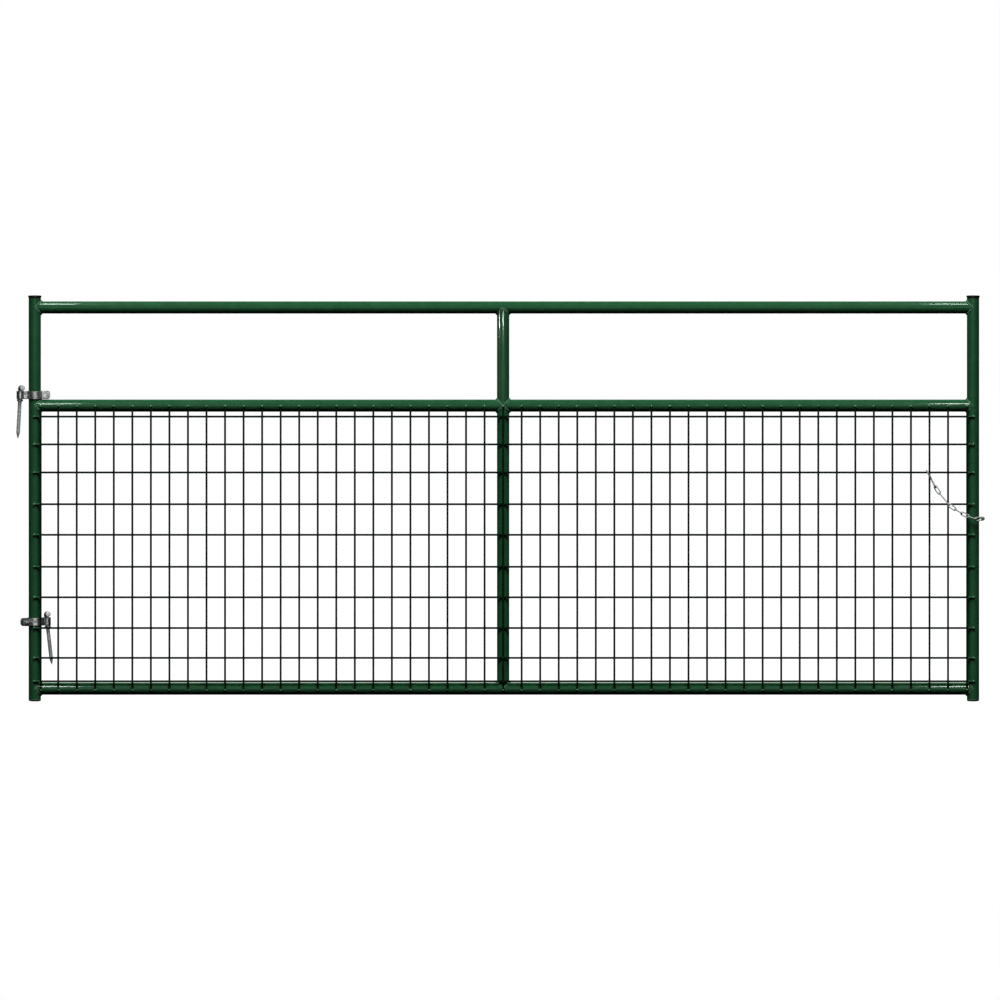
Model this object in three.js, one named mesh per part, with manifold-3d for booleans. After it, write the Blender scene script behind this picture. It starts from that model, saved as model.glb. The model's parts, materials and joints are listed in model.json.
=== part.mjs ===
// A wire-filled livestock gate: a welded round-tube frame, a welded wire panel over the lower bay,
// two clamp-strap hinges that each carry a lag hook, and a latch chain that ends in a snap hook.
//
// Millimetres, +Z up. The origin is the middle of the hinge stile's foot, on the face it stands on.
// +X runs along the gate to the latch stile. The wire panel is on the -Y side, which is the front.
import * as THREE from "three";
import { mergeVertices } from "three/addons/utils/BufferGeometryUtils.js";
import Module from "manifold-3d";

const wasm = await Module();
wasm.setup();

// ---------------------------------------------------------------- driving dimensions

const GAP = 0.3; // between two pieces that touch or are welded
const OVERCUT = 1; // how far a cutter goes past the faces it cuts

const FRAME = {
  span: 2933.9, // between the two stiles' axes
  middle: 1464.5, // X of the centre upright, which is welded in a little off the middle
  height: 1270, // foot to cap, 50 in
  tube: 38.1, // outer diameter, 1-1/2 in
  wall: 1.2,
  bottomRail: 39.4, // heights of the rails' axes
  middleRail: 925.6,
  topRail: 1232.9,
};

const CAP = { diameter: 41.5, thickness: 5.6, bevel: 1, stem: 22 };
const FOOT = { diameter: 38.1, thickness: 4.2, dome: 2.2, flat: 13, stem: 22 };

const PANEL = {
  wire: 6, // coated diameter, across flats
  pitch: 57.97, // between upright wires
  uprights: 49, // evenly spaced about the centre upright
  edgeInset: 18.5, // from each stile's axis to the one more upright wire on its inner edge
  top: 923.4, // ends of the upright wires
  bottom: 37.8,
  levels: [63.5, 136.8, 230.3, 326.5, 422.0, 522.1, 618.0, 717.4, 805.3, 892.3],
};

const STRAP = {
  height: 25.4, // 1 in strap
  thickness: 3.5,
  eyeBore: 17.4, // for a 5/8 in hinge pin
  eyeWall: 2.9,
  eyeReach: 45.5, // stile axis to eye axis
  earReach: 48, // stile axis to the ears' tips
  earCorner: 7, // radius of the ears' corners
  earGap: 7, // between the two ears
  boltReach: 31, // stile axis to bolt axis
};

const BOLT = { diameter: 7.9, neck: 8, head: 17.5, headRise: 4.4, stickOut: 6 };
// The bolt's domed head, from its top to its rim: shares of the head's radius and of its rise.
const BOLT_DOME = [
  [0, 1],
  [0.55, 0.85],
  [0.88, 0.5],
  [1, 0],
];
const NUT = { acrossFlats: 12.7, height: 6.7 };
const WASHER = { diameter: 17.5, thickness: 1.6 };

const HOOK = {
  pin: 15.9, // diameter of the leg that carries the gate
  leg: 36, // eye axis to the end of the leg
  bend: 9, // centre-line radius
  shoulder: 0.5, // length of thick bar below the bend
  ride: 3.2, // the leg's underside above the strap
  shank: 12, // diameter of the lag shank
  reach: 160, // leg axis to point
  point: 20, // length of the tapered point
};
const KEEPER = { diameter: 19, thickness: 5.5, drop: 1.5 };

// The hinges: where each strap sits, which way its eye points, which way up it is put on, and how
// its hook hangs in the eye.
const HINGES = [
  { name: "upper", level: 958.9, eyeAngle: 180, roll: 0, legAngle: -80, lean: 3.2 },
  { name: "lower", level: 249, eyeAngle: 32, roll: 180, legAngle: -80, lean: -6.2 },
];

// The rod that holds the chain: it leaves the latch stile sideways and bends forward.
const ANCHOR = {
  rod: 5, // diameter
  front: 49, // how far its front end stands before the stile's axis
  bend: 6,
  head: 9.5, // diameter of the upset end
  headLength: 3,
};

// The snap hook is an oval of rod round the crossing of two wires of the panel.
const SNAP = {
  innerLength: 58,
  innerWidth: 17,
  rod: 5,
  wireFromMiddle: 23, // the upright wire it goes round, counted from the middle one
  wireLevel: 7, // the level wire it hangs on, as an index of PANEL.levels
  besideWire: 7.55, // from the upright wire to where the snap lies on the level wire
  aboveWire: 1.2, // play between the level wire and the snap that hangs on it
  slide: 26, // how far along X its foot is from its head
  gatePivot: -12, // along the snap from its middle
  gateTip: 12,
  tongue: 1.9, // thickness of the rod's end inside the gate's fork
  pin: 2.4,
  pinStandOut: 0.5, // each end of the pin past the gate's cheeks
};

const CHAIN = {
  wire: 3.5,
  innerWidth: 6.2,
  plane: -40, // Y of the chain where it hangs
  play: 1, // between two links, along the chain
};

// The links from the snap hook to the anchor: inner length, and slope from the horizontal.
const LINKS = [
  { name: "chain_link_1", length: 25, slope: -58 },
  { name: "connector_link", length: 48, slope: -50 },
  { name: "chain_link_2", length: 25, slope: -37 },
  { name: "chain_link_3", length: 25, slope: -31 },
  { name: "chain_link_4", length: 25, slope: -26 },
  { name: "chain_link_5", length: 25, slope: -18 },
  { name: "chain_link_6", length: 25, slope: 4 },
];

// Facets round each kind of round thing. A bevelled or pierced plate's arcs are counted by half turns.
const SIDES = { tube: 24, eye: 20, bolt: 12, hook: 12, thinRod: 10, wire: 8 };
const ARC_SEGMENTS = { corner: 3, link: 4, plain: 8, hole: 9 };
const HOOK_STEPS = 16; // cross-sections along the hook's bend
const ANCHOR_STEPS = 20;
const ROUND_BAR_EDGE = 0.29; // chamfer that makes a square bar eight-sided, as a share of its width

// ---------------------------------------------------------------- derived dimensions

const TUBE_R = FRAME.tube / 2;
const BORE_R = TUBE_R - FRAME.wall;
const PANEL_BACK = -(TUBE_R + GAP);
const LEVEL_WIRE_Y = PANEL_BACK - PANEL.wire / 2;
const LAYER_FACE_Y = PANEL_BACK - PANEL.wire; // where the two layers of wire meet
const UPRIGHT_WIRE_Y = LAYER_FACE_Y - PANEL.wire / 2;

// ---------------------------------------------------------------- materials

const finish = (color, roughness, metalness) =>
  new THREE.MeshStandardMaterial({ color, roughness, metalness });

const GREEN_COAT = finish(0x1b4a2f, 0.38, 0.1);
const BLACK_PLASTIC = finish(0x101211, 0.5, 0);
const ZINC = finish(0x9aa09d, 0.42, 0.85);
const BRIGHT_ZINC = finish(0xb4b8b5, 0.3, 0.9);

// ---------------------------------------------------------------- solids

// A closed geometry as a solid that can be cut and joined.
function solid(geometry) {
  const bare = geometry.clone();
  bare.deleteAttribute("normal");
  bare.deleteAttribute("uv");
  const merged = mergeVertices(bare, 1e-4);
  return new wasm.Manifold(
    new wasm.Mesh({
      numProp: 3,
      vertProperties: new Float32Array(merged.attributes.position.array),
      triVerts: new Uint32Array(merged.index.array),
    }),
  );
}

// A solid as a geometry that a mesh can show.
function geometryOf(body) {
  const mesh = body.getMesh();
  const geometry = new THREE.BufferGeometry();
  geometry.setAttribute("position", new THREE.BufferAttribute(mesh.vertProperties, 3));
  geometry.setIndex(new THREE.BufferAttribute(mesh.triVerts, 1));
  geometry.computeVertexNormals();
  return geometry;
}

const join = (first, ...rest) => rest.reduce((sum, next) => sum.add(solid(next)), solid(first));
const cut = (body, ...cutters) => cutters.reduce((left, next) => left.subtract(solid(next)), body);

function named(name, geometry, material) {
  const mesh = new THREE.Mesh(geometry, material);
  mesh.name = name;
  return mesh;
}

// ---------------------------------------------------------------- shapes

function circle(radius, x = 0, y = 0) {
  const shape = new THREE.Shape();
  shape.absarc(x, y, radius, 0, 2 * Math.PI);
  return shape;
}

function polygon(radius, sides, turn = 0) {
  const points = Array.from({ length: sides }, (_, i) => {
    const angle = turn + (2 * Math.PI * i) / sides;
    return new THREE.Vector2(radius * Math.cos(angle), radius * Math.sin(angle));
  });
  return new THREE.Shape(points);
}

// A flat plate of the shape, its middle plane on z = 0.
function plate(shape, thickness, curveSegments = ARC_SEGMENTS.plain) {
  const geometry = new THREE.ExtrudeGeometry(shape, {
    depth: thickness,
    bevelEnabled: false,
    curveSegments,
  });
  return geometry.translate(0, 0, -thickness / 2);
}

// The same plate with every edge taken off, so that a ring of it reads as round bar.
function roundedPlate(shape, thickness) {
  const edge = thickness * ROUND_BAR_EDGE;
  const geometry = new THREE.ExtrudeGeometry(shape, {
    depth: thickness - 2 * edge,
    bevelThickness: edge,
    bevelSize: edge,
    bevelOffset: -edge,
    bevelSegments: 1,
    curveSegments: ARC_SEGMENTS.link,
  });
  return geometry.translate(0, 0, edge - thickness / 2);
}

// A bar with round ends, long along y.
function stadium(length, width) {
  const radius = width / 2;
  const straight = length / 2 - radius;
  const shape = new THREE.Shape();
  shape.moveTo(radius, -straight);
  shape.lineTo(radius, straight);
  shape.absarc(0, straight, radius, 0, Math.PI);
  shape.lineTo(-radius, -straight);
  shape.absarc(0, -straight, radius, Math.PI, 2 * Math.PI);
  return shape;
}

// A round bar or a cutter, its axis along z.
function bar(radius, length, sides = SIDES.tube) {
  return new THREE.CylinderGeometry(radius, radius, length, sides).rotateX(Math.PI / 2);
}

// Bar bent along a path, with flat ends.
function bentBar(path, radius, steps, sides) {
  return new THREE.ExtrudeGeometry(polygon(radius, sides), {
    extrudePath: path,
    steps,
    bevelEnabled: false,
  });
}

// A straight run, a round square-corner bend and a second straight run.
function bentPath(start, corner, end, radius) {
  const toStart = start.clone().sub(corner).normalize();
  const toEnd = end.clone().sub(corner).normalize();
  const bendIn = corner.clone().addScaledVector(toStart, radius);
  const bendOut = corner.clone().addScaledVector(toEnd, radius);
  const path = new THREE.CurvePath();
  path.add(new THREE.LineCurve3(start, bendIn));
  path.add(new THREE.QuadraticBezierCurve3(bendIn, corner, bendOut));
  path.add(new THREE.LineCurve3(bendOut, end));
  return path;
}

// ---------------------------------------------------------------- frame tubes

// A tube along z from one height to another.
function tube(from, to) {
  const ring = circle(TUBE_R);
  ring.holes.push(circle(BORE_R));
  const geometry = new THREE.ExtrudeGeometry(ring, {
    depth: to - from,
    bevelEnabled: false,
    curveSegments: SIDES.tube / 2,
  });
  return geometry.translate(0, 0, from);
}

// A cutter a gap wider than a tube, along z.
const saddle = (length) => bar(TUBE_R + GAP, length);

function stile(name, x) {
  const geometry = tube(FOOT.thickness + GAP, FRAME.height - CAP.thickness - GAP);
  const mesh = named(name, geometry, GREEN_COAT);
  mesh.position.x = x;
  return mesh;
}

// A rail runs between the stiles, and its ends are coped round them.
function rail(name, height) {
  const reach = 2 * FRAME.tube;
  const along = tube(0, FRAME.span).rotateY(Math.PI / 2);
  const coped = cut(solid(along), saddle(reach), saddle(reach).translate(FRAME.span, 0, 0));
  const mesh = named(name, geometryOf(coped), GREEN_COAT);
  mesh.position.z = height;
  return mesh;
}

// An upright stands between two rails, and its ends are coped round them.
function upright(name, from, to) {
  const reach = 2 * FRAME.tube;
  const across = () => saddle(reach).rotateY(Math.PI / 2);
  const coped = cut(solid(tube(0, to - from)), across(), across().translate(0, 0, to - from));
  const mesh = named(name, geometryOf(coped), GREEN_COAT);
  mesh.position.set(FRAME.middle, 0, from);
  return mesh;
}

// A pressed-in cap: a flanged disc on top and a stem in the tube's bore.
function cap(name, x) {
  const rim = CAP.diameter / 2;
  const stem = BORE_R - GAP;
  const profile = [
    [0, -CAP.stem],
    [stem, -CAP.stem],
    [stem, 0],
    [rim, 0],
    [rim, CAP.thickness - CAP.bevel],
    [rim - CAP.bevel, CAP.thickness],
    [0, CAP.thickness],
  ].map(([r, z]) => new THREE.Vector2(r, z));
  const turned = new THREE.LatheGeometry(profile, SIDES.tube).rotateX(Math.PI / 2);
  const mesh = named(name, turned, BLACK_PLASTIC);
  mesh.position.set(x, 0, FRAME.height - CAP.thickness);
  return mesh;
}

// A foot plug: slightly domed, with a flat in the middle that the gate rests on.
function foot(name, x) {
  const rim = FOOT.diameter / 2;
  const stem = BORE_R - GAP;
  const profile = [
    [0, 0],
    [FOOT.flat, 0],
    [rim, FOOT.dome],
    [rim, FOOT.thickness],
    [stem, FOOT.thickness],
    [stem, FOOT.thickness + FOOT.stem],
    [0, FOOT.thickness + FOOT.stem],
  ].map(([r, z]) => new THREE.Vector2(r, z));
  const turned = new THREE.LatheGeometry(profile, SIDES.tube).rotateX(Math.PI / 2);
  const mesh = named(name, turned, BLACK_PLASTIC);
  mesh.position.x = x;
  return mesh;
}

// ---------------------------------------------------------------- wire panel

// A many-sided wire with a flat towards each layer, along z.
function wire(length) {
  const halfSide = Math.PI / SIDES.wire;
  const corner = PANEL.wire / 2 / Math.cos(halfSide);
  return plate(polygon(corner, SIDES.wire, halfSide), length);
}

// Upright wires in front, level wires behind, welded where they cross.
function wirePanel() {
  const levelWires = PANEL.levels.map((height) =>
    wire(FRAME.span).rotateY(Math.PI / 2).translate(FRAME.span / 2, LEVEL_WIRE_Y, height),
  );
  const spaced = Array.from(
    { length: PANEL.uprights },
    (_, i) => FRAME.middle + (i - (PANEL.uprights - 1) / 2) * PANEL.pitch,
  );
  const middleHeight = (PANEL.top + PANEL.bottom) / 2;
  const uprightWires = [PANEL.edgeInset, ...spaced, FRAME.span - PANEL.edgeInset].map((x) =>
    wire(PANEL.top - PANEL.bottom).translate(x, UPRIGHT_WIRE_Y, middleHeight),
  );
  return named("wire_panel", geometryOf(join(...levelWires, ...uprightWires)), GREEN_COAT);
}

// ---------------------------------------------------------------- hinges

// The strap seen from above: an eye, a neck of two layers, a band round the stile and two ears.
function strapGeometry() {
  const band = TUBE_R + GAP;
  const bandOuter = band + STRAP.thickness;
  const eye = STRAP.eyeBore / 2;
  const eyeOuter = eye + STRAP.eyeWall;
  const neck = 2 * STRAP.thickness + GAP;
  const height = STRAP.height;
  const ears = 2 * STRAP.thickness + STRAP.earGap;
  const blank = join(
    bar(bandOuter, height),
    bar(eyeOuter, height, SIDES.eye).translate(STRAP.eyeReach, 0, 0),
    new THREE.BoxGeometry(STRAP.eyeReach, neck, height).translate(STRAP.eyeReach / 2, 0, 0),
    earBlank(ears),
  );
  const through = height + 2 * OVERCUT;
  const slot = STRAP.earReach + GAP;
  const boltRun = 2 * ears;
  const square = BOLT.neck + 2 * GAP;
  return geometryOf(
    cut(
      blank,
      bar(band, through),
      bar(eye, through, SIDES.eye).translate(STRAP.eyeReach, 0, 0),
      new THREE.BoxGeometry(slot, STRAP.earGap, through).translate(-slot / 2, 0, 0),
      new THREE.BoxGeometry(STRAP.eyeReach, GAP, through).translate(STRAP.eyeReach / 2, 0, 0),
      bar(BOLT.diameter / 2 + GAP, boltRun, SIDES.bolt)
        .rotateX(Math.PI / 2)
        .translate(-STRAP.boltReach, boltRun / 2, 0),
      new THREE.BoxGeometry(square, boltRun, square).translate(-STRAP.boltReach, -boltRun / 2, 0),
    ),
  );
}

// Both ears as one block, their tips rounded in side view.
function earBlank(width) {
  const half = STRAP.height / 2;
  const corner = STRAP.earCorner;
  const side = new THREE.Shape();
  side.moveTo(0, -half);
  side.lineTo(0, half);
  side.lineTo(-(STRAP.earReach - corner), half);
  side.absarc(-(STRAP.earReach - corner), half - corner, corner, Math.PI / 2, Math.PI);
  side.lineTo(-STRAP.earReach, corner - half);
  side.absarc(-(STRAP.earReach - corner), corner - half, corner, Math.PI, 1.5 * Math.PI);
  side.lineTo(0, -half);
  return plate(side, width, ARC_SEGMENTS.corner).rotateX(Math.PI / 2);
}

// A carriage bolt along y, its head on the -y side of the ears.
function boltGeometry() {
  const halfEars = STRAP.thickness + STRAP.earGap / 2;
  const headFace = -halfEars - GAP;
  const end = halfEars + WASHER.thickness + NUT.height + BOLT.stickOut;
  const shank = BOLT.diameter / 2;
  const dome = BOLT_DOME.map(([across, rise]) => [
    (BOLT.head / 2) * across,
    headFace - BOLT.headRise * rise,
  ]);
  const profile = [...dome, [shank, headFace], [shank, end], [0, end]].map(
    ([r, y]) => new THREE.Vector2(r, y),
  );
  const neckLength = STRAP.thickness + GAP;
  const neck = new THREE.BoxGeometry(BOLT.neck, neckLength, BOLT.neck);
  const turned = new THREE.LatheGeometry(profile, SIDES.bolt);
  return geometryOf(join(turned, neck.translate(0, headFace + neckLength / 2, 0)));
}

function washerGeometry() {
  const ring = circle(WASHER.diameter / 2);
  ring.holes.push(circle(BOLT.diameter / 2 + GAP));
  return plate(ring, WASHER.thickness, ARC_SEGMENTS.hole).rotateX(Math.PI / 2);
}

function nutGeometry() {
  const hexagon = polygon(NUT.acrossFlats / 2 / Math.cos(Math.PI / 6), 6);
  hexagon.holes.push(circle(BOLT.diameter / 2 + GAP));
  return plate(hexagon, NUT.height, ARC_SEGMENTS.hole).rotateX(Math.PI / 2);
}

// The lag hook: a thick leg that lies on top of the eye, and a pointed shank down through it.
// The leg points along x and the shank hangs along -z from the leg's axis.
function hookGeometry() {
  const pin = HOOK.pin / 2;
  const shank = HOOK.shank / 2;
  const drop = HOOK.bend + HOOK.shoulder;
  const path = bentPath(
    new THREE.Vector3(HOOK.leg, 0, 0),
    new THREE.Vector3(0, 0, 0),
    new THREE.Vector3(0, 0, -drop),
    HOOK.bend,
  );
  const bend = bentBar(path, pin, HOOK_STEPS, SIDES.hook);
  const profile = [
    [0, -HOOK.reach],
    [shank, HOOK.point - HOOK.reach],
    [shank, -drop / 2],
    [0, -drop / 2],
  ].map(([r, z]) => new THREE.Vector2(r, z));
  const lag = new THREE.LatheGeometry(profile, SIDES.hook).rotateX(Math.PI / 2);
  return geometryOf(join(bend, lag));
}

function keeperGeometry() {
  const ring = circle(KEEPER.diameter / 2);
  ring.holes.push(circle(HOOK.shank / 2 + GAP));
  return plate(ring, KEEPER.thickness, ARC_SEGMENTS.hole);
}

// One hinge on the hinge stile. Its strap is drawn with the eye along +x and turned to eyeAngle.
function hinge({ name, level, eyeAngle, roll, legAngle, lean }) {
  const set = new THREE.Group();
  set.position.z = level;

  const turned = new THREE.Group();
  turned.rotation.z = THREE.MathUtils.degToRad(eyeAngle);
  const clamp = new THREE.Group();
  clamp.rotation.x = THREE.MathUtils.degToRad(roll);
  turned.add(clamp);
  clamp.add(named(`${name}_hinge_strap`, strapGeometry(), ZINC));
  const halfEars = STRAP.thickness + STRAP.earGap / 2;
  const bolt = named(`${name}_hinge_bolt`, boltGeometry(), ZINC);
  const washer = named(`${name}_hinge_washer`, washerGeometry(), ZINC);
  const nut = named(`${name}_hinge_nut`, nutGeometry(), ZINC);
  bolt.position.x = -STRAP.boltReach;
  washer.position.set(-STRAP.boltReach, halfEars + GAP + WASHER.thickness / 2, 0);
  nut.position.set(-STRAP.boltReach, halfEars + 2 * GAP + WASHER.thickness + NUT.height / 2, 0);
  clamp.add(bolt, washer, nut);

  const hanging = new THREE.Group();
  const eye = new THREE.Vector3(STRAP.eyeReach, 0, 0).applyAxisAngle(
    new THREE.Vector3(0, 0, 1),
    turned.rotation.z,
  );
  hanging.position.copy(eye);
  hanging.rotation.y = THREE.MathUtils.degToRad(lean);
  const legHeight = STRAP.height / 2 + HOOK.pin / 2 + HOOK.ride;
  const hook = named(`${name}_lag_hook`, hookGeometry(), BRIGHT_ZINC);
  hook.position.z = legHeight;
  hook.rotation.z = THREE.MathUtils.degToRad(legAngle);
  const keeper = named(`${name}_hook_keeper`, keeperGeometry(), ZINC);
  keeper.position.z = -(STRAP.height / 2 + KEEPER.thickness / 2 + KEEPER.drop);
  hanging.add(hook, keeper);

  set.add(turned, hanging);
  return set;
}

// ---------------------------------------------------------------- latch chain

// Where the chain's pieces lie: the inner ends of the snap hook, and the ends of each link.
function chainLine() {
  const head = new THREE.Vector3(
    FRAME.middle + SNAP.wireFromMiddle * PANEL.pitch - SNAP.besideWire,
    LEVEL_WIRE_Y,
    PANEL.levels[SNAP.wireLevel] + PANEL.wire / 2 + SNAP.aboveWire,
  );
  const forward = LEVEL_WIRE_Y - CHAIN.plane;
  const drop = Math.sqrt(SNAP.innerLength ** 2 - SNAP.slide ** 2 - forward ** 2);
  const foot = new THREE.Vector3(head.x + SNAP.slide, CHAIN.plane, head.z - drop);
  const up = head.clone().sub(foot).normalize();
  const ends = [foot.clone().addScaledVector(up, CHAIN.play)];
  for (const { length, slope } of LINKS) {
    const angle = THREE.MathUtils.degToRad(slope);
    const step = new THREE.Vector3(Math.cos(angle), 0, Math.sin(angle));
    ends.push(ends.at(-1).clone().addScaledVector(step, length - CHAIN.play));
  }
  return { head, foot, up, ends };
}

// The rod welded to the latch stile's outer side, with an upset end that keeps the chain on.
function chainAnchor(chainEnd) {
  const radius = ANCHOR.rod / 2;
  const reach = chainEnd.x - radius - CHAIN.play - FRAME.span;
  const path = bentPath(
    new THREE.Vector3(TUBE_R + GAP, 0, 0),
    new THREE.Vector3(reach, 0, 0),
    new THREE.Vector3(reach, -ANCHOR.front, 0),
    ANCHOR.bend,
  );
  const head = bar(ANCHOR.head / 2, ANCHOR.headLength, SIDES.bolt)
    .rotateX(Math.PI / 2)
    .translate(reach, -ANCHOR.front, 0);
  const rod = bentBar(path, radius, ANCHOR_STEPS, SIDES.thinRod);
  const mesh = named("chain_anchor", geometryOf(join(rod, head)), GREEN_COAT);
  mesh.position.set(FRAME.span, 0, chainEnd.z);
  return mesh;
}

// One link, long along y and flat in the xy plane.
function linkGeometry(innerLength) {
  const outline = stadium(innerLength + 2 * CHAIN.wire, CHAIN.innerWidth + 2 * CHAIN.wire);
  outline.holes.push(stadium(innerLength, CHAIN.innerWidth));
  return roundedPlate(outline, CHAIN.wire);
}

// A link between two points of the chain, turned by turn about its own length.
function link(name, innerLength, from, to, turn) {
  const along = to.clone().sub(from).normalize();
  const across = new THREE.Vector3(0, 1, 0).cross(along).normalize();
  const flat = new THREE.Vector3().crossVectors(across, along);
  const mesh = named(name, linkGeometry(innerLength), BRIGHT_ZINC);
  mesh.quaternion.setFromRotationMatrix(new THREE.Matrix4().makeBasis(across, along, flat));
  mesh.rotateY(turn);
  mesh.position.copy(from).add(to).multiplyScalar(0.5);
  return mesh;
}

// The links, each a quarter turn from the last.
function chainLinks({ ends }) {
  return LINKS.map(({ name, length }, i) =>
    link(name, length, ends[i], ends[i + 1], (i * Math.PI) / 2),
  );
}

// The oval of the snap hook, long along y with its gate side at +x, open where the gate goes.
function snapHookGeometry(legX) {
  const { innerLength, innerWidth, rod, gatePivot, gateTip, tongue, pin } = SNAP;
  const oval = stadium(innerLength + 2 * rod, innerWidth + 2 * rod);
  oval.holes.push(stadium(innerLength, innerWidth));
  const openingFoot = gatePivot - rod / 2 - GAP;
  const openingTip = gateTip + 2 * GAP;
  const opening = new THREE.BoxGeometry(2 * rod, openingTip - openingFoot, 2 * rod).translate(
    legX,
    (openingTip + openingFoot) / 2,
    0,
  );
  const tongueShape = circle(rod / 2 - GAP, legX, gatePivot);
  const tongueEnd = plate(tongueShape, tongue);
  const tongueStem = new THREE.BoxGeometry(rod - 2 * GAP, rod, tongue).translate(
    legX,
    gatePivot - rod / 2,
    0,
  );
  const body = cut(solid(roundedPlate(oval, rod)), opening)
    .add(solid(tongueEnd))
    .add(solid(tongueStem));
  const pinHole = bar(pin / 2 + GAP / 2, 2 * rod, SIDES.thinRod).translate(legX, gatePivot, 0);
  return geometryOf(cut(body, pinHole));
}

// The gate, a short bar with a fork over the hook's tongue.
function snapGateGeometry() {
  const { rod, gatePivot, gateTip, tongue, pin } = SNAP;
  const length = gateTip - gatePivot;
  const shape = new THREE.Shape();
  shape.moveTo(rod / 2, 0);
  shape.lineTo(rod / 2, length);
  shape.lineTo(-rod / 2, length);
  shape.lineTo(-rod / 2, 0);
  shape.absarc(0, 0, rod / 2, Math.PI, 2 * Math.PI);
  const slot = new THREE.BoxGeometry(2 * rod, 2 * rod, tongue + 2 * GAP).translate(
    0,
    rod / 2 + GAP - rod,
    0,
  );
  const pinHole = bar(pin / 2 + GAP / 2, 2 * rod, SIDES.thinRod);
  return geometryOf(cut(solid(plate(shape, rod)), slot, pinHole));
}

// The snap hook, its gate and the gate's pin. Its gate side is towards the front.
function snap({ head, foot, up }) {
  const legX = (SNAP.innerWidth + SNAP.rod) / 2;
  const front = new THREE.Vector3(0, -1, 0);
  front.addScaledVector(up, -front.dot(up)).normalize();
  const normal = new THREE.Vector3().crossVectors(front, up);
  const set = new THREE.Group();
  set.quaternion.setFromRotationMatrix(new THREE.Matrix4().makeBasis(front, up, normal));
  set.position.copy(head).add(foot).multiplyScalar(0.5);
  const gateBar = named("snap_gate", snapGateGeometry(), BRIGHT_ZINC);
  gateBar.position.set(legX, SNAP.gatePivot, 0);
  const pinLength = SNAP.rod + 2 * SNAP.pinStandOut;
  const pin = named("snap_gate_pin", bar(SNAP.pin / 2, pinLength, SIDES.thinRod), ZINC);
  pin.position.copy(gateBar.position);
  set.add(named("snap_hook", snapHookGeometry(legX), BRIGHT_ZINC), gateBar, pin);
  return set;
}

// ---------------------------------------------------------------- the gate

const line = chainLine();

const gate = new THREE.Group();
gate.add(
  stile("hinge_stile", 0),
  stile("latch_stile", FRAME.span),
  rail("top_rail", FRAME.topRail),
  rail("middle_rail", FRAME.middleRail),
  rail("bottom_rail", FRAME.bottomRail),
  upright("centre_upright_upper", FRAME.middleRail, FRAME.topRail),
  upright("centre_upright_lower", FRAME.bottomRail, FRAME.middleRail),
  cap("hinge_stile_cap", 0),
  cap("latch_stile_cap", FRAME.span),
  foot("hinge_stile_foot", 0),
  foot("latch_stile_foot", FRAME.span),
  wirePanel(),
  ...HINGES.map(hinge),
  chainAnchor(line.ends.at(-1)),
  ...chainLinks(line),
  snap(line),
);

export default gate;
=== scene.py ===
"""The looks of the wire-filled livestock gate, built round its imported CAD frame.

Everything is drawn in millimetres, in the CAD frame's own axes, and scaled to metres when a piece is
made: the origin is the middle of the hinge stile's foot, +X runs along the gate to the latch stile,
+Z is up, and the wire panel is on the -Y side, which is the front. Each piece stands for the CAD node
it is named after and rides on that node's body.
"""

import json
import math
import random

import bmesh
import bpy
from mathutils import Matrix, Vector, noise


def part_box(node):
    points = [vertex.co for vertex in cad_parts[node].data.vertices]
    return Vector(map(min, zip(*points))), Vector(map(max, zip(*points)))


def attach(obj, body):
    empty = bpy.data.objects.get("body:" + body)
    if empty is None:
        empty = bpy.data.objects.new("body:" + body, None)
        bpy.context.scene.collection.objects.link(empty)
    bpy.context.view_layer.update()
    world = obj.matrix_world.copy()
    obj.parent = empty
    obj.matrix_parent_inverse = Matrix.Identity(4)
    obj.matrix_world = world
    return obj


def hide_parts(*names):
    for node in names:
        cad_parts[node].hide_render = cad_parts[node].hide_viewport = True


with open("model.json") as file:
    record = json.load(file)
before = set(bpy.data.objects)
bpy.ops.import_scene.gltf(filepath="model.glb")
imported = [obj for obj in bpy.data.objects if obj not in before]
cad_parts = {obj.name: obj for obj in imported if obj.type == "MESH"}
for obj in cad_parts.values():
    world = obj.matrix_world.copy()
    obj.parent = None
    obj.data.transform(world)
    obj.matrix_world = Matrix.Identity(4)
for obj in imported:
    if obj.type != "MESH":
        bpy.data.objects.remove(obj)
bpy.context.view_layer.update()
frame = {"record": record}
bodies = frame["record"]["behaviour"]["bodies"]
BODY_OF = {node: body for body, nodes in bodies.items() for node in nodes}
dice = random.Random(7)

X = Vector((1, 0, 0))
Y = Vector((0, 1, 0))
Z = Vector((0, 0, 1))
TURN = 2 * math.pi
MM = 0.001

# ---------------------------------------------------------------- sizes, in millimetres

GAP = 0.3  # between two pieces of the CAD model that touch


def middle(node):
    """The middle of a CAD node's box, in millimetres."""
    low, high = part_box(node)
    return (low + high) / 2 / MM


def extent(node):
    """The size of a CAD node's box, in millimetres."""
    low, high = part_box(node)
    return (high - low) / MM


SPAN = middle("latch_stile").x
CENTRE = middle("centre_upright_upper").x
TUBE_R = extent("hinge_stile").y / 2
WALL = 1.2
BORE_R = TUBE_R - WALL
TUBE_SIDES = 64
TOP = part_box("hinge_stile_cap")[1].z / MM
RAILS = {name: middle(name).z for name in ("top_rail", "middle_rail", "bottom_rail")}

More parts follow.
